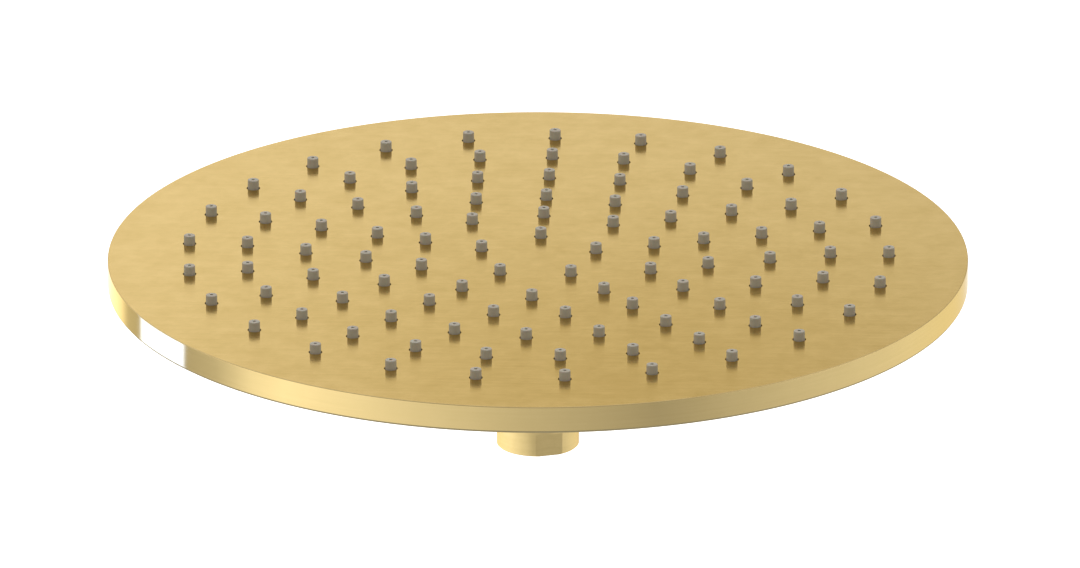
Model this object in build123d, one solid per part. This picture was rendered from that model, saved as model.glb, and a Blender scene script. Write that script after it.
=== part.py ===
from build123d import *

import os
from math import asin, atan2, degrees, hypot, radians, sin, sqrt

# Slim round rain shower head on a swivel ball, drawn spray face up and inlet down.
# Millimetres. The origin is the centre of the inlet's mouth, and +Z is the way the water leaves.

# Head: outline and walls
HEAD_DIAMETER = 250.0
FACE_WALL = 1.5
COVER_THICKNESS = 1.5
COVER_LIP = 1.0
EDGE_BREAK = 0.3

# Inside of the head, from the cover towards the face
CHAMBER_HEIGHT = 2.8
SPREADER_THICKNESS = 1.0
MAT_THICKNESS = 1.2

# Nozzles: each ring's share of the head's radius and how many stand on it, one of them on the +Y side
RING_RATIOS = (0.14, 0.28, 0.40, 0.54, 0.68, 0.816)
RING_COUNTS = (5, 10, 15, 20, 25, 25)
NOZZLE_DIAMETER = 3.2
NOZZLE_HEIGHT = 2.7
NOZZLE_BORE = 1.0

# Spreader plate: arc slots over the rings, the spokes that part them and the pillars to the cover
SLOT_WIDTH = 4.0
SPOKE_COUNT = 5
SPOKE_WIDTH = 3.0
SPOKE_ANGLE = 99.0
PILLAR_DIAMETER = 5.0

# Cover screws and the seal inside their circle
SCREW_COUNT = 8
SCREW_SIZE = 3.0
SCREW_LENGTH = 5.5
SCREW_SOCKET = 2.0
SCREW_SOCKET_DEPTH = 1.0
SCREW_EDGE = 0.7
SEAL_WIDTH = 1.4
SEAL_DEPTH = 1.0
SEAL_LAND = 0.8

# Inlet: thread, collar and wrench flats
THREAD_DIAMETER = 21.0
THREAD_LENGTH = 10.5
THREAD_LEAD_IN = 0.4
RELIEF_DEPTH = 0.3
COLLAR_WALL = 1.5
FLAT_DEPTH = 0.7
FLAT_LENGTH = 6.7
FLAT_ANGLE = -70.5

# What lies in the inlet
WASHER_THICKNESS = 2.0
WASHER_BORE = 13.0
SCREEN_THICKNESS = 0.6
SCREEN_HOLE = 1.3
SCREEN_PITCH = 2.0
REGULATOR_DIAMETER = 15.8
REGULATOR_HEIGHT = 5.0
REGULATOR_WALL = 1.4
REGULATOR_WEB = 1.6
REGULATOR_POST = 4.4
REGULATOR_HOLES = 8
REGULATOR_HOLE = 1.8
ELASTIC_SECTION = 1.8

# Swivel: ball, liner, nut and socket
BALL_DIAMETER = 22.0
BALL_BORE = 10.0
TILT_LIMIT = 15.0
LINER_WALL = 2.85
LINER_TOP = 2.4
LINER_BOTTOM = 6.0
LINER_SLIT = 1.5
NECK_LENGTH = 4.9
NUT_LIP = 1.0
NUT_WALL = 3.0
NUT_EDGE = 1.0
NUT_FLAT_DEPTH = 1.2
NUT_FLAT_LENGTH = 9.0
SEAT_BORE = 16.0
SEAT_WEB = 1.2
SEAT_HEIGHT = 4.8
BACK_GAP = 2.0

# Socket flange, its spigot through the cover and the nut inside
FLANGE_DIAMETER = 40.0
FLANGE_THICKNESS = 3.0
SPIGOT_BORE = 15.0
SPIGOT_WALL = 2.5
LOCK_NUT_WALL = 3.0
SPREAD_GAP = 0.8
SOCKET_SEAL_WIDTH = 1.8
SOCKET_SEAL_DEPTH = 1.2

# Clearances
NOZZLE_PLAY = 0.4
COVER_PLAY = 0.1
SEAL_PLAY = 0.05
SCREW_PLAY = 0.05
CHAMBER_PLAY = 0.3
BALL_PLAY = 0.15
MOUTH_PLAY = 0.4
STOP_PLAY = 0.5
SOCKET_PLAY = 0.6
THREAD_PLAY = 0.05
THREAD_STEP = 0.85
NUT_GAP = 0.6
WASHER_PLAY = 0.2
REGULATOR_PLAY = 0.1

# Swivel radii, from the ball outwards
ball_r = BALL_DIAMETER / 2
liner_in_r = ball_r + BALL_PLAY
liner_out_r = liner_in_r + LINER_WALL
nut_seat_r = liner_out_r + BALL_PLAY
mouth_r = ball_r + MOUTH_PLAY
barrel_r = nut_seat_r + THREAD_STEP
nut_r = barrel_r + THREAD_PLAY + NUT_WALL
cavity_r = ball_r + SOCKET_PLAY
seat_bore_r = SEAT_BORE / 2
spigot_bore_r = SPIGOT_BORE / 2
spigot_r = spigot_bore_r + SPIGOT_WALL
flange_r = FLANGE_DIAMETER / 2

# The neck is as thick as the nut's mouth lets it be at the tilt limit
mouth_depth = sqrt(nut_seat_r**2 - mouth_r**2)
nut_depth = mouth_depth + NUT_LIP
mouth_angle = degrees(atan2(mouth_r, nut_depth))
neck_r = hypot(mouth_r, nut_depth) * sin(radians(mouth_angle - TILT_LIMIT)) - STOP_PLAY

# Inlet radii, from the thread outwards
thread_r = THREAD_DIAMETER / 2
relief_r = thread_r + RELIEF_DEPTH
collar_r = thread_r + COLLAR_WALL
regulator_r = REGULATOR_DIAMETER / 2
washer_bore_r = WASHER_BORE / 2
ball_bore_r = BALL_BORE / 2

# Levels, from the inlet's mouth up to the nozzle tips
washer_z = THREAD_LENGTH
screen_z = washer_z + WASHER_THICKNESS
shoulder_z = screen_z + SCREEN_THICKNESS
regulator_z = shoulder_z + REGULATOR_PLAY
collar_z = regulator_z + REGULATOR_HEIGHT + REGULATOR_PLAY
neck_z = collar_z + collar_r - neck_r
nut_z = neck_z + NECK_LENGTH
ball_z = nut_z + nut_depth
seat_top_z = ball_z + sqrt(liner_in_r**2 - seat_bore_r**2) + SEAT_WEB
seat_z = seat_top_z - SEAT_HEIGHT
ball_top_z = ball_z + ball_r + SOCKET_PLAY
back_z = ball_z + ball_r + BACK_GAP
flange_z = back_z - FLANGE_THICKNESS
nut_top_z = flange_z - NUT_GAP
cover_z = back_z + COVER_THICKNESS
spreader_z = cover_z + CHAMBER_HEIGHT
lock_nut_z = spreader_z - SPREAD_GAP
mat_z = spreader_z + SPREADER_THICKNESS
face_in_z = mat_z + MAT_THICKNESS
face_z = face_in_z + FACE_WALL
tip_z = face_z + NOZZLE_HEIGHT

# The socket's barrel starts just above the liner's edge at the tilt limit
liner_rise = TILT_LIMIT - degrees(asin(LINER_TOP / liner_out_r))
barrel_z = ball_z + liner_out_r * sin(radians(liner_rise)) + STOP_PLAY

# Head radii, from the rim inwards
head_r = HEAD_DIAMETER / 2
lip_r = head_r - COVER_LIP
cover_r = lip_r - COVER_PLAY
screw_r = SCREW_SIZE / 2
screw_head_r = screw_r + COVER_THICKNESS
screw_circle_r = cover_r - SCREW_EDGE - screw_head_r
seal_out_r = screw_circle_r - screw_head_r - SEAL_LAND
seal_in_r = seal_out_r - SEAL_WIDTH
land_r = seal_in_r - SEAL_LAND
mat_r = land_r - CHAMBER_PLAY
nozzle_r = NOZZLE_DIAMETER / 2
nozzle_hole_r = nozzle_r + NOZZLE_PLAY

# Radius and count of each ring
rings = [(ratio * head_r, count) for ratio, count in zip(RING_RATIOS, RING_COUNTS)]


def band(r_in, r_out, z_low, z_high):
    """Half section of a ring: a rectangle, with radius across and height up."""
    middle = Pos((r_in + r_out) / 2, (z_low + z_high) / 2)
    return middle * Rectangle(r_out - r_in, z_high - z_low)


def outline(*points):
    """Half section with straight sides through (radius, height) points."""
    return make_face(Polyline(*points, close=True))


def ball_section(radius):
    """Circle about the ball's centre, in the plane of the half sections."""
    return Pos(0, ball_z) * Circle(radius)


def turned(section):
    """Solid of a half section turned about the head's axis."""
    return revolve(Plane.XZ * section, Axis.Z)


def peg(radius, z_low, z_high):
    """Upright cylinder on the axis."""
    return extrude(Plane.XY.offset(z_low) * Circle(radius), z_high - z_low)


def nozzle_places():
    """Centre of every nozzle, ring by ring."""
    places = []
    for radius, count in rings:
        places += list(PolarLocations(radius, count, start_angle=90))
    return places


def on_places(places, piece):
    """Copies of one piece at many places."""
    return [place * piece for place in places]


def flats(radius, depth, z_low, length):
    """Two blocks that cut opposite wrench flats into a round of that radius."""
    block = Pos(radius * 1.5 - depth, 0, z_low + length / 2) * Box(radius, 2 * radius, length)
    return on_places(PolarLocations(0, 2, start_angle=FLAT_ANGLE), block)


def face_plate():
    """Cup of face and rim, with nozzle holes, the land for the cover, a seal groove and tapped holes."""
    section = outline(
        (0, back_z),
        (head_r - EDGE_BREAK, back_z),
        (head_r, back_z + EDGE_BREAK),
        (head_r, face_z - EDGE_BREAK),
        (head_r - EDGE_BREAK, face_z),
        (0, face_z),
    )
    section -= band(0, lip_r, back_z, cover_z)
    section -= band(0, land_r, cover_z, face_in_z)
    section -= band(seal_in_r, seal_out_r, cover_z, cover_z + SEAL_DEPTH)
    hole = peg(nozzle_hole_r, face_in_z, face_z)
    tapped = peg(screw_r, cover_z, back_z + SCREW_LENGTH + SCREW_PLAY)
    cuts = on_places(nozzle_places(), hole)
    cuts += on_places(PolarLocations(screw_circle_r, SCREW_COUNT), tapped)
    return turned(section) - cuts


def nozzle_mat():
    """Silicone disc behind the face, with its nozzles standing out through the holes."""
    disc = peg(mat_r, mat_z, face_in_z)
    nozzle = peg(nozzle_r, face_in_z, tip_z)
    bore = peg(NOZZLE_BORE / 2, mat_z, tip_z)
    return (disc + on_places(nozzle_places(), nozzle)) - on_places(nozzle_places(), bore)


def spreader_plate():
    """Plate behind the mat, with arc slots over the rings of nozzles and pillars down to the cover."""
    spoke = Pos(mat_r / 2, 0) * Rectangle(mat_r, SPOKE_WIDTH)
    spokes = on_places(PolarLocations(0, SPOKE_COUNT, start_angle=SPOKE_ANGLE), spoke)
    plan = Circle(mat_r)
    for radius, _ in rings:
        slots = Circle(radius + SLOT_WIDTH / 2) - Circle(radius - SLOT_WIDTH / 2)
        plan -= slots - spokes
    plate = extrude(Plane.XY.offset(spreader_z) * plan, SPREADER_THICKNESS)
    pillar = peg(PILLAR_DIAMETER / 2, cover_z, spreader_z)
    pillars = []
    for (inner, _), (outer, _) in zip(rings[1:], rings[2:]):
        middle = (inner + outer) / 2
        pillars += on_places(PolarLocations(middle, SPOKE_COUNT, start_angle=SPOKE_ANGLE), pillar)
    return plate + pillars


def cover_seal():
    """Rubber ring in the land's groove, inside the circle of screws."""
    top_z = cover_z + SEAL_DEPTH - SEAL_PLAY
    return turned(band(seal_in_r + SEAL_PLAY, seal_out_r - SEAL_PLAY, cover_z, top_z))


def back_cover():
    """Disc let into the rim, with the spigot's hole and countersunk screw holes."""
    section = band(spigot_r + THREAD_PLAY, cover_r, back_z, cover_z)
    sink = turned(outline((0, back_z), (screw_head_r, back_z), (screw_r, cover_z), (0, cover_z)))
    return turned(section) - on_places(PolarLocations(screw_circle_r, SCREW_COUNT), sink)


def cover_screws():
    """Countersunk socket screws that hold the cover to the land."""
    head_r_fit = screw_head_r - SCREW_PLAY
    shank_r = screw_r - SCREW_PLAY
    end_z = back_z + SCREW_LENGTH
    section = outline((0, back_z), (head_r_fit, back_z), (shank_r, cover_z), (shank_r, end_z), (0, end_z))
    key = RegularPolygon(SCREW_SOCKET / 2, 6, major_radius=False)
    screw = turned(section) - extrude(Plane.XY.offset(back_z) * key, SCREW_SOCKET_DEPTH)
    return Compound(children=on_places(PolarLocations(screw_circle_r, SCREW_COUNT), screw))


def ball_socket():
    """Socket over the ball: threaded barrel, flange on the cover's back and spigot through the cover."""
    section = band(0, barrel_r, barrel_z, flange_z)
    section += outline(
        (0, flange_z),
        (flange_r - NUT_EDGE, flange_z),
        (flange_r, flange_z + NUT_EDGE),
        (flange_r, back_z),
        (0, back_z),
    )
    section += band(0, spigot_r, back_z, lock_nut_z)
    section -= band(0, cavity_r, barrel_z, seat_top_z + SEAL_PLAY)
    section -= band(0, seat_bore_r, barrel_z, ball_top_z)
    section -= band(0, spigot_bore_r, barrel_z, lock_nut_z)
    groove_r = spigot_r + THREAD_PLAY + SEAL_LAND
    section -= band(groove_r, groove_r + SOCKET_SEAL_WIDTH, back_z - SOCKET_SEAL_DEPTH, back_z)
    return turned(section)


def socket_seal():
    """Rubber ring in the flange's groove, against the cover's back."""
    inner_r = spigot_r + THREAD_PLAY + SEAL_LAND + SEAL_PLAY
    outer_r = inner_r + SOCKET_SEAL_WIDTH - 2 * SEAL_PLAY
    return turned(band(inner_r, outer_r, back_z - SOCKET_SEAL_DEPTH + SEAL_PLAY, back_z))


def lock_nut():
    """Thin hexagon nut on the spigot, inside the cover."""
    hexagon = RegularPolygon(spigot_r + LOCK_NUT_WALL, 6, major_radius=False)
    plan = hexagon - Circle(spigot_r + THREAD_PLAY)
    return extrude(Plane.XY.offset(cover_z) * plan, lock_nut_z - cover_z)


def retaining_nut():
    """Nut on the barrel: hollow seat for the liner, mouth that passes over the ball, and wrench flats."""
    section = outline(
        (0, nut_z),
        (nut_r - NUT_EDGE, nut_z),
        (nut_r, nut_z + NUT_EDGE),
        (nut_r, nut_top_z - NUT_EDGE),
        (nut_r - NUT_EDGE, nut_top_z),
        (0, nut_top_z),
    )
    section -= ball_section(nut_seat_r)
    section -= band(0, mouth_r, nut_z, nut_top_z)
    section -= band(0, barrel_r + THREAD_PLAY, barrel_z - STOP_PLAY, nut_top_z)
    return turned(section) - flats(nut_r, NUT_FLAT_DEPTH, nut_z, NUT_FLAT_LENGTH)


def friction_liner():
    """Split plastic liner between ball and nut, hollow and round about the ball's centre."""
    section = ball_section(liner_out_r) - ball_section(liner_in_r)
    section &= band(neck_r, nut_r, ball_z - LINER_BOTTOM, ball_z - LINER_TOP)
    slit = Pos(nut_r / 2, 0, ball_z) * Box(nut_r, LINER_SLIT, BALL_DIAMETER)
    return turned(section) - slit


def ball_seal():
    """Rubber seat above the ball, hollow to the ball's shape."""
    section = band(seat_bore_r, cavity_r - SEAL_PLAY, seat_z, seat_top_z)
    return turned(section - ball_section(ball_r + BALL_PLAY))


def ball_stem():
    """Ball, neck and threaded collar in one, bored through, with two wrench flats on the collar."""
    section = outline(
        (0, 0),
        (collar_r - EDGE_BREAK, 0),
        (collar_r, EDGE_BREAK),
        (collar_r, collar_z),
        (neck_r, neck_z),
        (neck_r, ball_z),
        (0, ball_z),
    )
    section += ball_section(ball_r) & band(0, ball_r, ball_z - ball_r, ball_z + ball_r)
    section -= outline(
        (0, 0),
        (thread_r + THREAD_LEAD_IN, 0),
        (thread_r, THREAD_LEAD_IN),
        (thread_r, THREAD_LENGTH),
        (0, THREAD_LENGTH),
    )
    section -= band(0, relief_r, THREAD_LENGTH, shoulder_z)
    section -= band(0, regulator_r + REGULATOR_PLAY, shoulder_z, collar_z)
    section -= band(0, ball_bore_r, collar_z, ball_z + ball_r)
    return turned(section) - flats(collar_r, FLAT_DEPTH, 0, FLAT_LENGTH)


def inlet_washer():
    """Flat rubber washer held in the relief behind the thread."""
    return turned(band(washer_bore_r, relief_r - WASHER_PLAY, washer_z, screen_z))


def filter_screen():
    """Perforated disc between the washer and the shoulder."""
    hole = Rectangle(SCREEN_HOLE, SCREEN_HOLE)
    across = 2 * int(washer_bore_r / SCREEN_PITCH) + 1
    reach = washer_bore_r - SCREEN_HOLE
    grid = GridLocations(SCREEN_PITCH, SCREEN_PITCH, across, across)
    places = [place for place in grid if place.position.length <= reach]
    plan = Circle(relief_r - WASHER_PLAY) - on_places(places, hole)
    return extrude(Plane.XY.offset(screen_z) * plan, SCREEN_THICKNESS)


def flow_regulator():
    """Cup with a web of flow holes and a centre post for the elastic ring."""
    top_z = regulator_z + REGULATOR_HEIGHT
    web_z = top_z - REGULATOR_WEB
    section = band(regulator_r - REGULATOR_WALL, regulator_r, regulator_z, top_z)
    section += band(0, regulator_r, web_z, top_z)
    section += band(0, REGULATOR_POST / 2, regulator_z, web_z)
    hole = peg(REGULATOR_HOLE / 2, web_z, top_z)
    hole_circle_r = (REGULATOR_POST / 2 + ball_bore_r) / 2
    return turned(section) - on_places(PolarLocations(hole_circle_r, REGULATOR_HOLES), hole)


def regulator_ring():
    """Elastic ring round the regulator's post, under its web."""
    section_r = ELASTIC_SECTION / 2
    ring_r = REGULATOR_POST / 2 + section_r + REGULATOR_PLAY
    web_z = regulator_z + REGULATOR_HEIGHT - REGULATOR_WEB
    return Pos(0, 0, web_z - section_r - REGULATOR_PLAY) * Torus(ring_r, section_r)


PIECES = (
    face_plate,
    nozzle_mat,
    spreader_plate,
    cover_seal,
    back_cover,
    cover_screws,
    ball_socket,
    socket_seal,
    lock_nut,
    retaining_nut,
    friction_liner,
    ball_seal,
    ball_stem,
    inlet_washer,
    filter_screen,
    flow_regulator,
    regulator_ring,
)

os.makedirs("parts", exist_ok=True)
for make_piece in PIECES:
    export_step(make_piece(), f"parts/{make_piece.__name__}.step")
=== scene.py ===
"""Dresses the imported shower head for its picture: brushed brass, silicone nozzles and a white studio."""

import logging
from dataclasses import dataclass
from enum import Enum
from math import atan2, cos, radians, sin, tau

import bmesh
import bpy
from mathutils import Matrix, Vector


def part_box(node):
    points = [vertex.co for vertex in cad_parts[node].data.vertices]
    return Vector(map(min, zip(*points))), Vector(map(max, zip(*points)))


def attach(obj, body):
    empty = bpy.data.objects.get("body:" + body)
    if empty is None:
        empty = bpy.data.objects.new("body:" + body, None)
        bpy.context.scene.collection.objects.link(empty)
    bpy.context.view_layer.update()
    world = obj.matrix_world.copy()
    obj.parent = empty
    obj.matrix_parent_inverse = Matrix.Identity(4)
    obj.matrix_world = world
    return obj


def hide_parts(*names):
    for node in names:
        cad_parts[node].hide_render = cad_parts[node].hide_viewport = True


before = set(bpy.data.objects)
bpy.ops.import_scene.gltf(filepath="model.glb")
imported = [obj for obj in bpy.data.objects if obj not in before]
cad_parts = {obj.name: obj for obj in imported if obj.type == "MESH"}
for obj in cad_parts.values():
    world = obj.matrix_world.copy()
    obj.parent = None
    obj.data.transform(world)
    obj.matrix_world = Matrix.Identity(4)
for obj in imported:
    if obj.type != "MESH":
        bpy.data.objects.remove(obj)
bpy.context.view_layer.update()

MM = 0.001
SMOOTH_LIMIT = radians(35)  # an edge that bends more than this stays sharp
MERGE_DISTANCE = 1e-7
WHITE = "#ffffff"
log = logging.getLogger("shower_head")

Colour = tuple[float, float, float, float]
Inputs = dict[str | int, object]


class Lay(Enum):
    """Ways that brushing runs over the metal."""

    STRAIGHT = "straight"
    ROUND = "round"


class Skin(Enum):
    """Finishes of the face plate, by their slot on its mesh."""

    FACE = 0
    RIM = 1
    EDGE = 2
    FOOT = 3


def linear(colour: str) -> Colour:
    """Turns an sRGB hex colour to linear light.

    Args:
        colour: hex colour with its leading mark, such as "#e4c989".

    Returns:
        Red, green, blue and a full alpha.
    """
    shares = [int(colour[start : start + 2], 16) / 255 for start in (1, 3, 5)]
    red, green, blue = [s / 12.92 if s <= 0.04045 else ((s + 0.055) / 1.055) ** 2.4 for s in shares]
    return red, green, blue, 1.0


def add_node(
    tree: bpy.types.NodeTree, kind: str, inputs: Inputs | None = None, **settings: object
) -> bpy.types.Node:
    """Adds a node with its settings, values and links.

    Args:
        tree: node tree that takes the node.
        kind: the node's type name.
        inputs: value or output socket for each input, by name or number.
        settings: properties of the node itself.

    Returns:
        The new node.
    """
    node = tree.nodes.new(kind)
    for name, value in settings.items():
        setattr(node, name, value)
    fill_inputs(tree, node, inputs or {})
    return node


def fill_inputs(tree: bpy.types.NodeTree, node: bpy.types.Node, inputs: Inputs) -> None:
    """Sets a node's inputs to values, or links them to output sockets.

    Args:
        tree: node tree that holds the node.
        node: node whose inputs are filled.
        inputs: value or output socket for each input, by name or number.
    """
    for name, value in inputs.items():
        if isinstance(value, bpy.types.NodeSocket):
            tree.links.new(value, node.inputs[name])
        else:
            node.inputs[name].default_value = value


def new_material(name: str) -> tuple[bpy.types.Material, bpy.types.NodeTree, bpy.types.Node]:
    """Starts a material.

    Args:
        name: the material's name.

    Returns:
        The material, its node tree and its shader node.
    """
    material = bpy.data.materials.new(name)
    material.use_nodes = True
    tree = material.node_tree
    return material, tree, tree.nodes["Principled BSDF"]


@dataclass(frozen=True)
class BrushedBrass:
    """Satin brass, brushed with a belt or on the lathe and lacquered.

    The scratches lie one way, so reflections stay sharp along them and smear out across them. Soft clouds
    run through the tone, and shallow waves bend what a broad face shows.
    """

    name: str
    lay: Lay
    colour: str = "#efd596"
    shade: str = "#dcc281"
    edge_tint: str = "#fbebcd"
    roughness: float = 0.12
    roughness_spread: float = 0.025
    stretch: float = 1.0
    streak_length: float = 40 * MM
    streak_width: float = 0.8 * MM  # real scratches are a tenth of this, too fine to show
    streak_detail: float = 4.0
    streak_grit: float = 0.65
    cloud_size: float = 9 * MM
    cloud_detail: float = 5.0
    cloud_grit: float = 0.72
    cloud_share: float = 0.7
    tone_low: float = 0.3
    tone_high: float = 0.7
    wave_depth: float = 0.06 * MM
    scratch_depth: float = 0.001 * MM

    def material(self) -> bpy.types.Material:
        """Builds the brass.

        Returns:
            The finished material.
        """
        material, tree, shader = new_material(self.name)
        place = add_node(tree, "ShaderNodeTexCoord").outputs["Object"]
        fine, long = 1 / self.streak_width, 1 / self.streak_length
        if self.lay is Lay.STRAIGHT:
            along, tangent = place, Vector((0, 1, 0))
            grain = (long, fine, fine)
            quarter_turns = 0
        else:
            along, tangent = self.round_lay(tree, place)
            grain = (long, long, fine)
            quarter_turns = 1
        lines = add_node(tree, "ShaderNodeMapping", {"Vector": along, "Scale": grain})
        streaks = add_node(
            tree,
            "ShaderNodeTexNoise",
            {
                "Vector": lines.outputs[0],
                "Scale": 1.0,
                "Detail": self.streak_detail,
                "Roughness": self.streak_grit,
            },
        ).outputs[0]
        clouds = add_node(
            tree,
            "ShaderNodeTexNoise",
            {
                "Vector": place,
                "Scale": 1 / self.cloud_size,
                "Detail": self.cloud_detail,
                "Roughness": self.cloud_grit,
            },
        ).outputs[0]
        gloss = add_node(
            tree,
            "ShaderNodeMapRange",
            {
                "Value": streaks,
                "To Min": self.roughness - self.roughness_spread,
                "To Max": self.roughness + self.roughness_spread,
            },
        )
        across = add_node(
            tree,
            "ShaderNodeVectorTransform",
            {"Vector": tangent},
            vector_type="VECTOR",
            convert_from="OBJECT",
            convert_to="WORLD",
        )
        fill_inputs(
            tree,
            shader,
            {
                "Base Color": self.tone(tree, streaks, clouds),
                "Metallic": 1.0,
                "Roughness": gloss.outputs[0],
                "Specular Tint": linear(self.edge_tint),
                "Anisotropic": self.stretch,
                "Anisotropic Rotation": quarter_turns / 4,
                "Tangent": across.outputs[0],
                "Normal": self.relief(tree, streaks, clouds),
            },
        )
        return material

    def round_lay(
        self, tree: bpy.types.NodeTree, place: bpy.types.NodeSocket
    ) -> tuple[bpy.types.NodeSocket, bpy.types.NodeSocket]:
        """Makes the coordinates of scratches that run round the axis.

        Args:
            tree: the material's node tree.
            place: object coordinates.

        Returns:
            Coordinates whose third axis counts across the scratches, and the way round the axis.
        """
        flat = add_node(tree, "ShaderNodeVectorMath", {0: place, 1: (1, 1, 0)}, operation="MULTIPLY")
        reach = add_node(tree, "ShaderNodeVectorMath", {0: flat.outputs[0]}, operation="LENGTH")
        split = add_node(tree, "ShaderNodeSeparateXYZ", {"Vector": place})
        across = add_node(
            tree, "ShaderNodeMath", {0: reach.outputs["Value"], 1: split.outputs["Z"]}, operation="ADD"
        )
        along = add_node(
            tree,
            "ShaderNodeCombineXYZ",
            {"X": split.outputs["X"], "Y": split.outputs["Y"], "Z": across.outputs[0]},
        )
        round_way = add_node(
            tree, "ShaderNodeVectorMath", {0: (0, 0, 1), 1: place}, operation="CROSS_PRODUCT"
        )
        return along.outputs[0], round_way.outputs[0]

    def tone(
        self, tree: bpy.types.NodeTree, streaks: bpy.types.NodeSocket, clouds: bpy.types.NodeSocket
    ) -> bpy.types.NodeSocket:
        """Mixes the brass's two tones by its scratches and clouds.

        Args:
            tree: the material's node tree.
            streaks: pattern of the scratches.
            clouds: pattern of the clouds.

        Returns:
            The colour.
        """
        both = add_node(
            tree, "ShaderNodeMix", {0: self.cloud_share, 2: streaks, 3: clouds}, data_type="FLOAT"
        )
        level = add_node(
            tree,
            "ShaderNodeMapRange",
            {"Value": both.outputs[0], "From Min": self.tone_low, "From Max": self.tone_high},
        )
        colour = add_node(
            tree,
            "ShaderNodeMix",
            {0: level.outputs[0], 6: linear(self.shade), 7: linear(self.colour)},
            data_type="RGBA",
        )
        return colour.outputs[2]

    def relief(
        self, tree: bpy.types.NodeTree, streaks: bpy.types.NodeSocket, clouds: bpy.types.NodeSocket
    ) -> bpy.types.NodeSocket:
        """Makes the waves of the sheet and the scratches on them.

        Args:
            tree: the material's node tree.
            streaks: pattern of the scratches.
            clouds: pattern of the waves.

        Returns:
            The bent normal.
        """
        waves = add_node(
            tree, "ShaderNodeBump", {"Height": clouds, "Strength": 1.0, "Distance": self.wave_depth}
        )
        scratches = add_node(
            tree,
            "ShaderNodeBump",
            {
                "Height": streaks,
                "Strength": 1.0,
                "Distance": self.scratch_depth,
                "Normal": waves.outputs[0],
            },
        )
        return scratches.outputs[0]


@dataclass(frozen=True)
class Moulded:
    """Rubber or plastic from a mould: an even colour with soft clouds in it and a fine matt skin."""

    name: str
    colour: str
    shade: str
    roughness: float
    roughness_spread: float = 0.06
    glow: float = 0.0
    glow_depth: float = 0.5 * MM
    shine: float = 0.5
    cloud_size: float = 2.0 * MM
    cloud_detail: float = 3.0
    skin_size: float = 0.12 * MM
    skin_detail: float = 2.0
    skin_depth: float = 0.004 * MM

    def material(self) -> bpy.types.Material:
        """Builds the moulded surface.

        Returns:
            The finished material.
        """
        material, tree, shader = new_material(self.name)
        place = add_node(tree, "ShaderNodeTexCoord").outputs["Object"]
        clouds = add_node(
            tree,
            "ShaderNodeTexNoise",
            {"Vector": place, "Scale": 1 / self.cloud_size, "Detail": self.cloud_detail},
        )
        colour = add_node(
            tree,
            "ShaderNodeMix",
            {0: clouds.outputs[0], 6: linear(self.shade), 7: linear(self.colour)},
            data_type="RGBA",
        )
        skin = add_node(
            tree,
            "ShaderNodeTexNoise",
            {"Vector": place, "Scale": 1 / self.skin_size, "Detail": self.skin_detail},
        )
        relief = add_node(
            tree,
            "ShaderNodeBump",
            {"Height": skin.outputs[0], "Strength": 1.0, "Distance": self.skin_depth},
        )
        gloss = add_node(
            tree,
            "ShaderNodeMapRange",
            {
                "Value": skin.outputs[0],
                "To Min": self.roughness - self.roughness_spread,
                "To Max": self.roughness + self.roughness_spread,
            },
        )
        fill_inputs(
            tree,
            shader,
            {
                "Base Color": colour.outputs[2],
                "Roughness": gloss.outputs[0],
                "Specular IOR Level": self.shine,
                "Subsurface Weight": self.glow,
                "Subsurface Scale": self.glow_depth,
                "Normal": relief.outputs[0],
            },
        )
        return material


@dataclass(frozen=True)
class RolledSteel:
    """Bright stainless sheet, rolled and punched: a cool grey with faint lines one way."""

    name: str = "rolled_stainless_steel"
    colour: str = "#c9c9c6"
    shade: str = "#b4b4b1"
    roughness: float = 0.28
    roughness_spread: float = 0.08
    line_length: float = 6 * MM
    line_width: float = 0.15 * MM
    line_detail: float = 3.0

    def material(self) -> bpy.types.Material:
        """Builds the sheet.

        Returns:
            The finished material.
        """
        material, tree, shader = new_material(self.name)
        place = add_node(tree, "ShaderNodeTexCoord").outputs["Object"]
        grain = (1 / self.line_length, 1 / self.line_width, 1 / self.line_width)
        lines = add_node(tree, "ShaderNodeMapping", {"Vector": place, "Scale": grain})
        roll = add_node(
            tree,
            "ShaderNodeTexNoise",
            {"Vector": lines.outputs[0], "Scale": 1.0, "Detail": self.line_detail},
        )
        colour = add_node(
            tree,
            "ShaderNodeMix",
            {0: roll.outputs[0], 6: linear(self.shade), 7: linear(self.colour)},
            data_type="RGBA",
        )
        gloss = add_node(
            tree,
            "ShaderNodeMapRange",
            {
                "Value": roll.outputs[0],
                "To Min": self.roughness - self.roughness_spread,
                "To Max": self.roughness + self.roughness_spread,
            },
        )
        fill_inputs(
            tree, shader, {"Base Color": colour.outputs[2], "Metallic": 1.0, "Roughness": gloss.outputs[0]}
        )
        return material


@dataclass(frozen=True)
class Corner:
    """Point of a half section: radius, height and the round on that edge."""

    r: float
    z: float
    edge: float = 0.0


def turned(outline: list[Corner], steps: int, edge_steps: int = 4) -> bmesh.types.BMesh:
    """Spins a half section about the upright axis.

    Args:
        outline: corners of the half section in order, open at both ends.
        steps: number of steps round the axis.
        edge_steps: number of steps over each rounded edge.

    Returns:
        The spun shape, open where the outline starts and ends off the axis.
    """
    work = bmesh.new()
    verts = [work.verts.new((corner.r, 0, corner.z)) for corner in outline]
    for first, second in zip(verts, verts[1:]):
        work.edges.new((first, second))
    for corner, vert in zip(outline, verts):
        if corner.edge:
            bmesh.ops.bevel(
                work,
                geom=[vert],
                offset=corner.edge,
                offset_type="OFFSET",
                segments=edge_steps,
                profile=0.5,
                affect="VERTICES",
                material=-1,
            )
    bmesh.ops.spin(
        work,
        geom=work.verts[:] + work.edges[:],
        cent=(0, 0, 0),
        axis=(0, 0, 1),
        angle=tau,
        steps=steps,
        use_merge=True,
    )
    bmesh.ops.remove_doubles(work, verts=work.verts, dist=MERGE_DISTANCE)
    bmesh.ops.recalc_face_normals(work, faces=work.faces)
    return work


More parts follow.
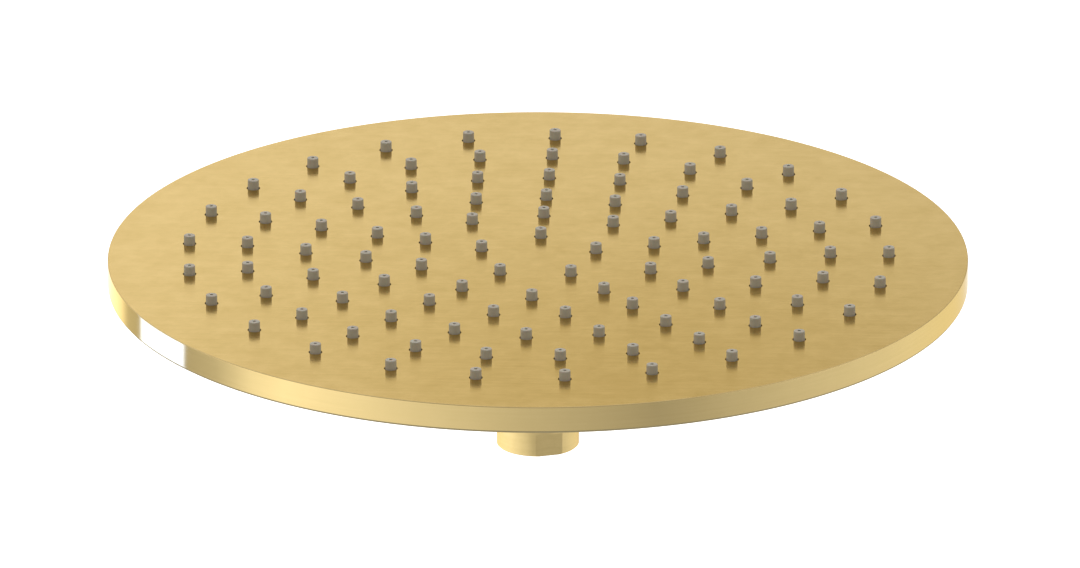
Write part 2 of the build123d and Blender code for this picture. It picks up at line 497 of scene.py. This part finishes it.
def copies(work: bmesh.types.BMesh, places: list[Vector]) -> None:
    """Repeats a whole shape at each place and drops the first.

    Args:
        work: shape at the origin, which gains the copies.
        places: where the copies go.
    """
    first = work.verts[:] + work.edges[:] + work.faces[:]
    first_verts = work.verts[:]
    for place in places:
        made = bmesh.ops.duplicate(work, geom=first)["geom"]
        moved = [part for part in made if isinstance(part, bmesh.types.BMVert)]
        bmesh.ops.translate(work, verts=moved, vec=place)
    bmesh.ops.delete(work, geom=first_verts, context="VERTS")


def new_object(name: str, work: bmesh.types.BMesh) -> bpy.types.Object:
    """Makes an object of a finished shape, smooth but for its sharp edges.

    Args:
        name: the object's name.
        work: the shape, which is freed.

    Returns:
        The object, in the scene.
    """
    for edge in work.edges:
        edge.smooth = edge.calc_face_angle(0.0) < SMOOTH_LIMIT
    for face in work.faces:
        face.smooth = True
    mesh = bpy.data.meshes.new(name)
    work.to_mesh(mesh)
    work.free()
    piece = bpy.data.objects.new(name, mesh)
    bpy.context.scene.collection.objects.link(piece)
    return piece


def carve(name: str, body: bmesh.types.BMesh, cutter: bmesh.types.BMesh) -> bpy.types.Object:
    """Cuts one shape out of another.

    Args:
        name: name of the result.
        body: shape that is cut, which is freed.
        cutter: shape that is taken away, which is freed.

    Returns:
        The cut object, with no modifier left on it.
    """
    piece = new_object(name, body)
    tool = new_object(name + "_cutter", cutter)
    cut = piece.modifiers.new("cut", "BOOLEAN")
    cut.operation = "DIFFERENCE"
    cut.solver = "EXACT"
    cut.object = tool
    graph = bpy.context.evaluated_depsgraph_get()
    result = bpy.data.meshes.new_from_object(piece.evaluated_get(graph))
    bpy.data.objects.remove(piece)
    bpy.data.objects.remove(tool)
    work = bmesh.new()
    work.from_mesh(result)
    return new_object(name, work)


def dress(node: str, finish: bpy.types.Material) -> None:
    """Gives a node of the frame its finish.

    Args:
        node: the node's name.
        finish: material for its slots.
    """
    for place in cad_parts[node].material_slots:
        place.material = finish
    log.info("dressed %s in %s", node, finish.name)


def stand_in(piece: bpy.types.Object, node: str, body: str) -> None:
    """Puts a piece in the place of a node.

    Args:
        piece: the new piece.
        node: node that it stands for.
        body: body that it moves with.
    """
    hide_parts(node)
    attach(piece, body)
    log.info("built %s with %d faces", piece.name, len(piece.data.polygons))


@dataclass
class NozzleField:
    """Rings of nozzles: radius in millimetres and count of each, with one nozzle on the +Y side."""

    rings: tuple[tuple[float, int], ...] = (
        (17.5, 5),
        (35.0, 10),
        (50.0, 15),
        (67.5, 20),
        (85.0, 25),
        (102.0, 25),
    )

    def places(self) -> list[Vector]:
        """Works out where the nozzles stand.

        Returns:
            The centre of every nozzle, ring by ring.
        """
        found = []
        for radius, count in self.rings:
            for step in range(count):
                angle = tau * step / count
                found.append(Vector((-sin(angle), cos(angle), 0)) * radius * MM)
        return found


@dataclass
class FacePlate:
    """Cup of face and rim, with the holes that the nozzles stand in."""

    field: NozzleField
    edge: float = 0.25 * MM
    foot_edge: float = 0.7 * MM
    hold: float = 0.1 * MM  # loops this far beside the rounds keep the faces flat to the eye
    wall: float = 1.5 * MM
    land_play: float = 0.3 * MM
    lip_play: float = 0.1 * MM
    hole: float = 4.0 * MM
    rim_steps: int = 288
    hole_steps: int = 24
    face_play: float = 0.025 * MM
    level_slope: float = 0.99
    upright_slope: float = 0.1

    def build(
        self,
        face: bpy.types.Material,
        rim: bpy.types.Material,
        edge: bpy.types.Material,
        foot: bpy.types.Material,
    ) -> None:
        """Builds the cup in place of the frame's face plate, and dresses it.

        Args:
            face: finish of the spray face.
            rim: finish of everything else.
            edge: finish of the broken edge round the face, its darker tone painted shade.
            foot: finish of the broken edge at the back, darkened as painted shade.
        """
        face_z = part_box("face_plate")[1].z
        piece = carve("spray_face", self.cup(), self.drill(face_z))
        for finish in (face, rim, edge, foot):
            piece.data.materials.append(finish)
        for polygon in piece.data.polygons:
            polygon.material_index = self.skin(polygon, face_z).value
        stand_in(piece, "face_plate", "head")

    def cup(self) -> bmesh.types.BMesh:
        """Turns the cup: a closed face, the rim, the lip that takes the cover and the land inside.

        Returns:
            The closed shape, without its holes.
        """
        low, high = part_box("face_plate")
        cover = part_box("back_cover")[1]
        land_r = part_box("nozzle_mat")[1].x + self.land_play
        lip_r = cover.x + self.lip_play
        top = self.edge + self.hold
        foot_top = self.foot_edge + self.hold
        outline = [
            Corner(land_r, high.z - self.wall),
            Corner(land_r, cover.z),
            Corner(lip_r, cover.z),
            Corner(lip_r, low.z),
            Corner(high.x - foot_top, low.z),
            Corner(high.x, low.z, self.foot_edge),
            Corner(high.x, low.z + foot_top),
            Corner(high.x, high.z - top),
            Corner(high.x, high.z, self.edge),
            Corner(high.x - top, high.z),
        ]
        cup = turned(outline, self.rim_steps)
        bmesh.ops.holes_fill(cup, edges=[side for side in cup.edges if side.is_boundary], sides=0)
        bmesh.ops.recalc_face_normals(cup, faces=cup.faces)
        return cup

    def drill(self, face_z: float) -> bmesh.types.BMesh:
        """Makes the pins that cut the nozzle holes.

        Args:
            face_z: height of the spray face.

        Returns:
            All the pins in one shape.
        """
        pins = bmesh.new()
        bmesh.ops.create_cone(
            pins,
            cap_ends=True,
            segments=self.hole_steps,
            radius1=self.hole / 2,
            radius2=self.hole / 2,
            depth=self.wall * 2,
            matrix=Matrix.Translation((0, 0, face_z - self.wall / 2)),
        )
        copies(pins, self.field.places())
        return pins

    def skin(self, polygon: bpy.types.MeshPolygon, face_z: float) -> Skin:
        """Tells which finish a face of the mesh gets.

        Args:
            polygon: face of the mesh.
            face_z: height of the spray face.

        Returns:
            The finish.
        """
        slope = polygon.normal.z
        if slope > self.level_slope and polygon.center.z > face_z - self.face_play:
            return Skin.FACE
        if self.upright_slope < slope < self.level_slope:
            return Skin.EDGE
        if -self.level_slope < slope < -self.upright_slope:
            return Skin.FOOT
        return Skin.RIM


@dataclass
class NozzleMat:
    """Silicone mat behind the face, with the nozzles that stand out through it."""

    field: NozzleField
    base: float = 3.3 * MM
    tip: float = 3.26 * MM
    tip_edge: float = 0.2 * MM
    bore: float = 1.0 * MM
    thickness: float = 1.2 * MM
    sink: float = 0.4 * MM
    nozzle_steps: int = 16
    tip_steps: int = 2
    disc_steps: int = 96

    def build(self, silicone: bpy.types.Material) -> None:
        """Builds the mat in place of the frame's nozzle mat, and dresses it.

        Args:
            silicone: finish of the whole mat.
        """
        low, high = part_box("nozzle_mat")
        disc_z = low.z + self.thickness
        outline = [
            Corner(0, disc_z - self.sink / 2),
            Corner(self.bore / 2, disc_z - self.sink / 2),
            Corner(self.bore / 2, high.z),
            Corner(self.tip / 2, high.z, self.tip_edge),
            Corner(self.tip / 2, high.z - self.tip_edge * 2),
            Corner(self.base / 2, disc_z - self.sink),
            Corner(0, disc_z - self.sink),
        ]
        mat = turned(outline, self.nozzle_steps, self.tip_steps)
        copies(mat, self.field.places())
        bmesh.ops.create_cone(
            mat,
            cap_ends=True,
            segments=self.disc_steps,
            radius1=high.x,
            radius2=high.x,
            depth=self.thickness,
            matrix=Matrix.Translation((0, 0, low.z + self.thickness / 2)),
        )
        piece = new_object("silicone_nozzles", mat)
        piece.data.materials.append(silicone)
        stand_in(piece, "nozzle_mat", "head")


@dataclass
class InletThread:
    """Pipe thread inside the collar, one ridge wound up the bore."""

    root: float = 21.0 * MM
    crest: float = 18.63 * MM
    pitch: float = 1.814 * MM
    crest_width: float = 0.35 * MM
    sink: float = 0.1 * MM
    start: float = 0.9 * MM
    turns: int = 4
    steps: int = 48

    def build(self, brass: bpy.types.Material) -> None:
        """Winds the ridge, which rides with the inlet, and dresses it.

        Args:
            brass: finish of the ridge.
        """
        foot = self.pitch / 2
        sunk = self.root / 2 + self.sink
        section = (
            (sunk, -foot),
            (self.crest / 2, -self.crest_width / 2),
            (self.crest / 2, self.crest_width / 2),
            (sunk, foot),
        )
        work = bmesh.new()
        verts = [work.verts.new((r, 0, self.start + foot + z)) for r, z in section]
        first = work.faces.new(verts)
        bmesh.ops.spin(
            work,
            geom=[first, *first.edges, *first.verts],
            cent=(0, 0, 0),
            axis=(0, 0, 1),
            dvec=(0, 0, self.pitch / self.steps),
            angle=tau * self.turns,
            steps=self.steps * self.turns,
        )
        bmesh.ops.recalc_face_normals(work, faces=work.faces)
        piece = new_object("inlet_thread", work)
        piece.data.materials.append(brass)
        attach(piece, "inlet")
        log.info("built %s with %d faces", piece.name, len(piece.data.polygons))


def window(
    tree: bpy.types.NodeTree, value: bpy.types.NodeSocket, centre: float, width: float, blur: float
) -> bpy.types.NodeSocket:
    """Makes a share that is 1 inside a span and falls to 0 outside it.

    Args:
        tree: node tree that takes the nodes.
        value: what is measured.
        centre: middle of the span.
        width: full width of the span.
        blur: width of the fall on each side.

    Returns:
        The share.
    """
    away = add_node(tree, "ShaderNodeMath", {0: value, 1: centre}, operation="SUBTRACT")
    aside = add_node(tree, "ShaderNodeMath", {0: away.outputs[0]}, operation="ABSOLUTE")
    inside = add_node(
        tree,
        "ShaderNodeMapRange",
        {
            "Value": aside.outputs[0],
            "From Min": width / 2,
            "From Max": width / 2 + blur,
            "To Min": 1.0,
            "To Max": 0.0,
        },
    )
    return inside.outputs[0]


def light_card(
    card: bpy.types.Object,
    material: bpy.types.Material,
    colour: Colour | bpy.types.NodeSocket,
    level: bpy.types.NodeSocket,
) -> None:
    """Makes a card give off light that only reflections show.

    Args:
        card: the card.
        material: its material, which holds the nodes that grade the light.
        colour: colour of the light.
        level: strength of the light.
    """
    tree = material.node_tree
    light = add_node(tree, "ShaderNodeEmission", {"Color": colour, "Strength": level})
    fill_inputs(tree, tree.nodes["Material Output"], {"Surface": light.outputs[0]})
    card.data.materials.append(material)
    card.visible_camera = False
    card.visible_diffuse = False
    card.visible_transmission = False
    card.visible_shadow = False


def upright_card(width: float, height: float) -> bmesh.types.BMesh:
    """Makes an upright rectangle that lies along X, with its middle at the origin.

    Args:
        width: size along X.
        height: size along Z.

    Returns:
        The rectangle.
    """
    work = bmesh.new()
    upright = Matrix.Rotation(tau / 4, 4, "X")
    bmesh.ops.create_grid(work, x_segments=1, y_segments=1, size=0.5, matrix=upright)
    bmesh.ops.scale(work, verts=work.verts, vec=(width, 1, height))
    return work


@dataclass
class Floor:
    """White paper floor, which shows its own light to the camera and takes the object's shadow."""

    drop: float = 0.45
    size: float = 60.0
    colour: str = "#e8e8e8"
    roughness: float = 0.9
    roughness_spread: float = 0.05
    fibre_cloud: float = 50 * MM

    def build(self) -> None:
        """Lays the floor, which is clear from below so that it never hides the object's back."""
        work = bmesh.new()
        bmesh.ops.create_grid(
            work,
            x_segments=1,
            y_segments=1,
            size=self.size / 2,
            matrix=Matrix.Translation((0, 0, -self.drop)),
        )
        floor = new_object("studio_floor", work)
        material, tree, shader = new_material("white_floor")
        path = add_node(tree, "ShaderNodeLightPath")
        place = add_node(tree, "ShaderNodeTexCoord").outputs["Object"]
        fibres = add_node(tree, "ShaderNodeTexNoise", {"Vector": place, "Scale": 1 / self.fibre_cloud})
        gloss = add_node(
            tree,
            "ShaderNodeMapRange",
            {
                "Value": fibres.outputs[0],
                "To Min": self.roughness - self.roughness_spread,
                "To Max": self.roughness + self.roughness_spread,
            },
        )
        fill_inputs(
            tree,
            shader,
            {
                "Base Color": linear(self.colour),
                "Roughness": gloss.outputs[0],
                "Specular IOR Level": 0.0,
                "Emission Color": linear(WHITE),
                "Emission Strength": path.outputs["Is Camera Ray"],
            },
        )
        under = add_node(tree, "ShaderNodeNewGeometry").outputs["Backfacing"]
        clear = add_node(tree, "ShaderNodeBsdfTransparent")
        sides = add_node(
            tree, "ShaderNodeMixShader", {0: under, 1: shader.outputs[0], 2: clear.outputs[0]}
        )
        fill_inputs(tree, tree.nodes["Material Output"], {"Surface": sides.outputs[0]})
        floor.data.materials.append(material)
        floor.visible_glossy = False


@dataclass(frozen=True)
class Patch:
    """Patch of light on the wall: middle and size, in degrees round the set and as a share of the rise."""

    turn: float
    width: float
    rise: float
    height: float
    level: float
    turn_blur: float
    rise_blur: float


@dataclass
class Wall:
    """Light all round the set: calm but for one low band, which is what rim and collar show the camera."""

    peak: float = 2.0
    calm_level: float = 0.78
    calm_slope: float = 0.34
    band_rise: float = -0.34
    band_height: float = 0.24
    band_blur: float = 0.15
    top_start: float = 0.45
    top_full: float = 0.8
    top_share: float = 0.95

    # Light in the band, by degrees from straight behind the object, plus to the right
    stops: tuple[tuple[float, float], ...] = (
        (-180, 0.645),
        (-143, 0.965),
        (-111, 1.27),
        (-100, 1.09),
        (-92, 0.79),
        (-86, 0.62),
        (-73, 0.52),
        (-50, 0.60),
        (-39, 0.66),
        (-32, 1.45),
        (-26, 1.60),
        (-14, 1.50),
        (-3, 1.20),
        (10, 0.98),
        (27, 0.98),
        (57, 0.92),
        (105, 0.675),
        (145, 0.432),
        (180, 0.645),
    )

    # A weak fill on each side
    patches: tuple[Patch, ...] = (
        Patch(-98.0, 68.0, -0.11, 0.18, 0.5, turn_blur=14.0, rise_blur=0.06),
        Patch(86.0, 80.0, -0.11, 0.18, 0.5, turn_blur=12.0, rise_blur=0.06),
    )

    def build(self) -> None:
        """Sets the world to the wall's light, and to plain white where the camera sees it."""
        world = bpy.data.worlds.new("studio_wall")
        world.use_nodes = True
        bpy.context.scene.world = world
        tree = world.node_tree
        way = add_node(tree, "ShaderNodeTexCoord").outputs["Generated"]
        split = add_node(tree, "ShaderNodeSeparateXYZ", {"Vector": way})
        flat = {0: split.outputs["X"], 1: split.outputs["Y"]}
        turn = add_node(tree, "ShaderNodeMath", flat, operation="ARCTAN2").outputs[0]
        lit = self.graded(tree, split, turn)
        for patch in self.patches:
            lit = self.add_patch(tree, lit, patch, turn, split.outputs["Z"])
        # White for camera rays alone: in the metal it would wash out the rim's lights and darks
        white = add_node(tree, "ShaderNodeBackground", {"Color": linear(WHITE), "Strength": 1.0})
        path = add_node(tree, "ShaderNodeLightPath")
        both = add_node(
            tree, "ShaderNodeMixShader", {0: path.outputs["Is Camera Ray"], 1: lit, 2: white.outputs[0]}
        )
        fill_inputs(tree, tree.nodes["World Output"], {"Surface": both.outputs[0]})

    def graded(
        self, tree: bpy.types.NodeTree, split: bpy.types.Node, turn: bpy.types.NodeSocket
    ) -> bpy.types.NodeSocket:
        """Grades the wall: its stops inside the band, the calm level elsewhere.

        Args:
            tree: the world's node tree.
            split: node that gives the direction one coordinate at a time.
            turn: angle round the set.

        Returns:
            The wall's light.
        """
        rise = split.outputs["Z"]
        share = add_node(
            tree, "ShaderNodeMapRange", {"Value": turn, "From Min": -tau / 2, "From Max": tau / 2}
        )
        ramp = add_node(tree, "ShaderNodeValToRGB", {"Fac": share.outputs[0]})
        marks = ramp.color_ramp.elements
        marks.remove(marks[1])
        marks[0].position = 0.0
        for number, (angle, level) in enumerate(self.stops):
            mark = marks.new(angle / 360 + 0.5) if number else marks[0]
            mark.color = self.grey(level)
        band = window(tree, rise, self.band_rise, self.band_height, self.band_blur)
        calm = add_node(
            tree,
            "ShaderNodeMath",
            {0: split.outputs["Y"], 1: self.calm_slope / self.peak, 2: self.calm_level / self.peak},
            operation="MULTIPLY_ADD",
        )
        tone = add_node(
            tree,
            "ShaderNodeMix",
            {0: band, 6: calm.outputs[0], 7: ramp.outputs["Color"]},
            data_type="RGBA",
        )
        strength = add_node(
            tree,
            "ShaderNodeMapRange",
            {
                "Value": rise,
                "From Min": self.top_start,
                "From Max": self.top_full,
                "To Min": self.peak,
                "To Max": self.peak * self.top_share,
            },
        )
        soft = add_node(
            tree, "ShaderNodeBackground", {"Color": tone.outputs[2], "Strength": strength.outputs[0]}
        )
        return soft.outputs[0]

    def grey(self, level: float) -> Colour:
        """Gives the grey of a level on the wall, as a share of its peak."""
        share = level / self.peak
        return share, share, share, 1.0

    def add_patch(
        self,
        tree: bpy.types.NodeTree,
        lit: bpy.types.NodeSocket,
        patch: Patch,
        turn: bpy.types.NodeSocket,
        rise: bpy.types.NodeSocket,
    ) -> bpy.types.NodeSocket:
        """Adds a patch of light to the wall.

        Args:
            tree: the world's node tree.
            lit: the wall's light so far.
            patch: the patch to add.
            turn: angle round the set.
            rise: height of the direction, from -1 to 1.

        Returns:
            The wall's light with the patch in it.
        """
        sides = window(tree, turn, radians(patch.turn), radians(patch.width), radians(patch.turn_blur))
        ends = window(tree, rise, patch.rise, patch.height, patch.rise_blur)
        share = add_node(tree, "ShaderNodeMath", {0: sides, 1: ends}, operation="MULTIPLY")
        level = add_node(
            tree, "ShaderNodeMath", {0: share.outputs[0], 1: patch.level}, operation="MULTIPLY"
        )
        glow = add_node(
            tree, "ShaderNodeBackground", {"Color": linear(WHITE), "Strength": level.outputs[0]}
        )
        return add_node(tree, "ShaderNodeAddShader", {0: lit, 1: glow.outputs[0]}).outputs[0]


@dataclass
class PhotoCamera:
    """Camera at the photograph's angle, as far off as its flat view asks."""

    azimuth: float = 2.85
    elevation: float = 20.15
    lens: float = 850.0
    image_width: int = 1080
    pixels_per_mm: float = 3.442
    aim_right: float = 0.61 * MM
    aim_down: float = 7.78 * MM

    def build(self) -> None:
        """Sets up the camera."""
        azimuth, elevation = radians(self.azimuth), radians(self.elevation)
        back = Vector((sin(azimuth) * cos(elevation), -cos(azimuth) * cos(elevation), sin(elevation)))
        right = Vector((cos(azimuth), sin(azimuth), 0))
        up = back.cross(right)
        lens = bpy.data.cameras.new("camera")
        lens.lens = self.lens
        distance = self.lens / lens.sensor_width * self.image_width / self.pixels_per_mm * MM
        face_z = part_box("face_plate")[1].z
        aim = Vector((0, 0, face_z)) + right * self.aim_right - up * self.aim_down
        camera = bpy.data.objects.new("camera", lens)
        camera.location = aim + back * distance
        camera.rotation_mode = "QUATERNION"
        camera.rotation_quaternion = back.to_track_quat("Z", "Y")
        bpy.context.scene.collection.objects.link(camera)
        bpy.context.scene.camera = camera


@dataclass
class FaceCard:
    """Graded card behind the object, which the spray face shows: dim at its foot, with a warm spot."""

    distance: float = 0.30
    width: float = 1.2
    height: float = 0.5
    colour: str = "#fbfbff"
    level: float = 0.92
    slope: float = -0.77
    foot: float = 0.04
    foot_level: float = 0.25
    spot_colour: str = "#c3b687"
    spot_right: float = 0.02
    spot_up: float = 0.165
    spot_width: float = 0.2
    spot_height: float = 0.07

    def build(self) -> None:
        """Stands the card on the level of the spray face."""
        face_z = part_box("face_plate")[1].z
        work = upright_card(self.width, self.height)
        bmesh.ops.translate(work, verts=work.verts, vec=(0, self.distance, face_z + self.height / 2))
        card = new_object("graded_card", work)
        material, tree, _ = new_material("graded_card")
        place = add_node(tree, "ShaderNodeTexCoord").outputs["Object"]
        split = add_node(tree, "ShaderNodeSeparateXYZ", {"Vector": place})
        side = add_node(
            tree,
            "ShaderNodeMath",
            {0: split.outputs["X"], 1: self.slope, 2: self.level},
            operation="MULTIPLY_ADD",
        )
        foot = add_node(
            tree,
            "ShaderNodeMapRange",
            {
                "Value": split.outputs["Z"],
                "From Min": face_z,
                "From Max": face_z + self.foot,
                "To Min": self.foot_level,
                "To Max": 1.0,
            },
        )
        level = add_node(
            tree, "ShaderNodeMath", {0: side.outputs[0], 1: foot.outputs[0]}, operation="MULTIPLY"
        )
        spot_z = face_z + self.spot_up
        spot = add_node(
            tree,
            "ShaderNodeMapping",
            {
                "Vector": place,
                "Location": (-self.spot_right / self.spot_width, 0, -spot_z / self.spot_height),
                "Scale": (1 / self.spot_width, 0, 1 / self.spot_height),
            },
        )
        warmth = add_node(
            tree, "ShaderNodeTexGradient", {"Vector": spot.outputs[0]}, gradient_type="SPHERICAL"
        )
        tint = add_node(
            tree,
            "ShaderNodeMix",
            {0: warmth.outputs["Fac"], 6: linear(self.colour), 7: linear(self.spot_colour)},
            data_type="RGBA",
        )
        light_card(card, material, tint.outputs[2], level.outputs[0])


@dataclass
class RimStrip:
    """Cool strip lamp by the rim, whose light brass turns white: the bright patch on the rim's left."""

    camera: PhotoCamera
    turn: float = -60.9
    width: float = 24.0
    distance: float = 0.2
    height: float = 24 * MM
    blur: float = 12 * MM
    level: float = 5.05
    colour: str = "#9bb1ff"

    def build(self) -> None:
        """Stands the lamp where the camera sees it in the rim."""
        first = self.end(self.turn - self.width / 2)
        last = self.end(self.turn + self.width / 2)
        span, middle = last - first, (first + last) / 2
        work = upright_card(span.length, self.height + 2 * self.blur)
        along_span = Matrix.Rotation(atan2(span.y, span.x), 3, "Z")
        bmesh.ops.rotate(work, verts=work.verts, cent=(0, 0, 0), matrix=along_span)
        bmesh.ops.translate(work, verts=work.verts, vec=middle)
        strip = new_object("strip_lamp", work)
        material, tree, _ = new_material("strip_lamp")
        place = add_node(tree, "ShaderNodeTexCoord").outputs["Object"]
        split = add_node(tree, "ShaderNodeSeparateXYZ", {"Vector": place})
        ends = window(tree, split.outputs["Z"], middle.z, self.height, self.blur)
        level = add_node(tree, "ShaderNodeMath", {0: ends, 1: self.level}, operation="MULTIPLY")
        light_card(strip, material, linear(self.colour), level.outputs[0])

    def end(self, turn: float) -> Vector:
        """Finds the middle of one end of the lamp.

        Args:
            turn: way that its light comes from, in degrees from straight behind, plus to the right.

        Returns:
            The point that the camera sees in the rim that way, at the lamp's distance.
        """
        low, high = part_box("face_plate")
        light = radians(turn)
        normal = (light - radians(180 + self.camera.azimuth)) / 2
        fall = radians(self.camera.elevation)
        spot = Vector((sin(normal) * high.x, cos(normal) * high.x, (low.z + high.z) / 2))
        way = Vector((sin(light) * cos(fall), cos(light) * cos(fall), -sin(fall)))
        return spot + way * self.distance


@dataclass
class InletReflector:
    """White reflector bent round the inlet's left, which lights the collar."""

    radius: float = 34 * MM
    low: float = -22 * MM
    high: float = 4 * MM
    start: float = -20.0
    full: float = -110.0
    end: float = -165.0
    level: float = 1.42
    end_level: float = 0.9
    steps: int = 32

    def build(self) -> None:
        """Bends the reflector, which dims from its full light towards its front end."""
        start, end = radians(self.start), radians(self.end)
        reach = Vector((sin(start), cos(start), 0)) * self.radius
        work = bmesh.new()
        foot = work.verts.new(reach + Vector((0, 0, self.low)))
        top = work.verts.new(reach + Vector((0, 0, self.high)))
        edge = work.edges.new((foot, top))
        bmesh.ops.spin(
            work,
            geom=[foot, top, edge],
            cent=(0, 0, 0),
            axis=(0, 0, 1),
            angle=start - end,
            steps=self.steps,
        )
        reflector = new_object("inlet_reflector", work)
        material, tree, _ = new_material("inlet_reflector")
        place = add_node(tree, "ShaderNodeTexCoord").outputs["Object"]
        split = add_node(tree, "ShaderNodeSeparateXYZ", {"Vector": place})
        flat = {0: split.outputs["X"], 1: split.outputs["Y"]}
        turn = add_node(tree, "ShaderNodeMath", flat, operation="ARCTAN2")
        level = add_node(
            tree,
            "ShaderNodeMapRange",
            {
                "Value": turn.outputs[0],
                "From Min": end,
                "From Max": radians(self.full),
                "To Min": self.end_level,
                "To Max": self.level,
            },
        )
        light_card(reflector, material, linear(WHITE), level.outputs[0])


@dataclass
class SoftLamp:
    """Broad warm lamp over the set, which the metal doesn't show."""

    place: tuple[float, float, float] = (-0.5, -0.4, 1.8)
    size: float = 1.2
    power: float = 9.0
    colour: str = "#fff6ea"

    def build(self) -> None:
        """Hangs the lamp, turned to the inlet."""
        lamp = bpy.data.lights.new("soft_lamp", "AREA")
        lamp.size = self.size
        lamp.energy = self.power
        lamp.color = linear(self.colour)[:3]
        hung = bpy.data.objects.new("soft_lamp", lamp)
        hung.location = self.place
        hung.rotation_mode = "QUATERNION"
        hung.rotation_quaternion = Vector(self.place).to_track_quat("Z", "Y")
        hung.visible_glossy = False
        bpy.context.scene.collection.objects.link(hung)


def main() -> None:
    """Builds the new pieces, dresses the other nodes and builds the set, in that order."""
    logging.basicConfig(level=logging.INFO)
    # Brushed on a belt: broad soft lights that smear across the lines, with faint clouds
    face = BrushedBrass("straight_brushed_brass", Lay.STRAIGHT).material()
    # Brushed on the lathe: lights and darks stand upright on the rim, with clear sides
    turned_brass = BrushedBrass(
        "lathe_brushed_brass",
        Lay.ROUND,
        shade="#e8ce8e",
        edge_tint="#f9ebc6",
        roughness=0.1,
        cloud_share=0.4,
        wave_depth=0.0,
    ).material()
    # Fine-turned and left satin: broad lights with soft sides
    satin_brass = BrushedBrass(
        "lathe_turned_satin_brass",
        Lay.ROUND,
        colour="#f2d99a",
        shade="#e1c888",
        roughness=0.4,
        stretch=0.4,
        cloud_share=0.6,
        wave_depth=0.0,
    ).material()
    # Broken with a file: a thin soft line, rougher than the face, with a darker tone that is painted shade
    filed_edge_painted_shade = BrushedBrass(
        "deburred_brass_painted_shade",
        Lay.ROUND,
        colour="#dcc388",
        shade="#d0b67c",
        roughness=0.4,
        stretch=0.0,
        wave_depth=0.0,
    ).material()
    # Painted shade: a darker, greyer line along the rim's back edge
    painted_shade_back_edge = BrushedBrass(
        "painted_shade_brass",
        Lay.ROUND,
        colour="#b8aa84",
        shade="#ad9f79",
        roughness=0.45,
        stretch=0.0,
        wave_depth=0.0,
    ).material()
    # Moulded silicone: matt warm grey with a little light inside
    silicone = Moulded("grey_silicone", "#b0aa9c", "#a19b8e", 0.55, glow=0.1, shine=0.3).material()
    # Moulded rubber: black and matt
    rubber = Moulded("black_rubber", "#26262a", "#1b1b1d", 0.6).material()
    # Moulded acetal: milky white with a soft shine
    white_plastic = Moulded("white_acetal", "#e4e1d8", "#dad6cc", 0.4, glow=0.05).material()
    # Moulded ABS: dark, even and a little shiny
    dark_plastic = Moulded("dark_abs", "#2c2c2f", "#242427", 0.42).material()
    # Rolled stainless sheet: cool grey and bright, with faint lines
    steel = RolledSteel().material()
    field = NozzleField()
    FacePlate(field).build(face, turned_brass, filed_edge_painted_shade, painted_shade_back_edge)
    NozzleMat(field).build(silicone)
    InletThread().build(satin_brass)
    dress("back_cover", face)
    for node in ("cover_screws", "ball_socket", "lock_nut", "retaining_nut", "ball_stem"):
        dress(node, satin_brass)
    for node in ("cover_seal", "socket_seal", "ball_seal", "inlet_washer", "regulator_ring"):
        dress(node, rubber)
    for node in ("friction_liner", "flow_regulator"):
        dress(node, white_plastic)
    dress("spreader_plate", dark_plastic)
    dress("filter_screen", steel)
    bpy.context.scene.view_settings.view_transform = "Standard"
    camera = PhotoCamera()
    for part in (Floor(), Wall(), FaceCard(), RimStrip(camera), InletReflector(), SoftLamp(), camera):
        part.build()
        log.info("set up %s", type(part).__name__)


if __name__ == "__main__":
    main()
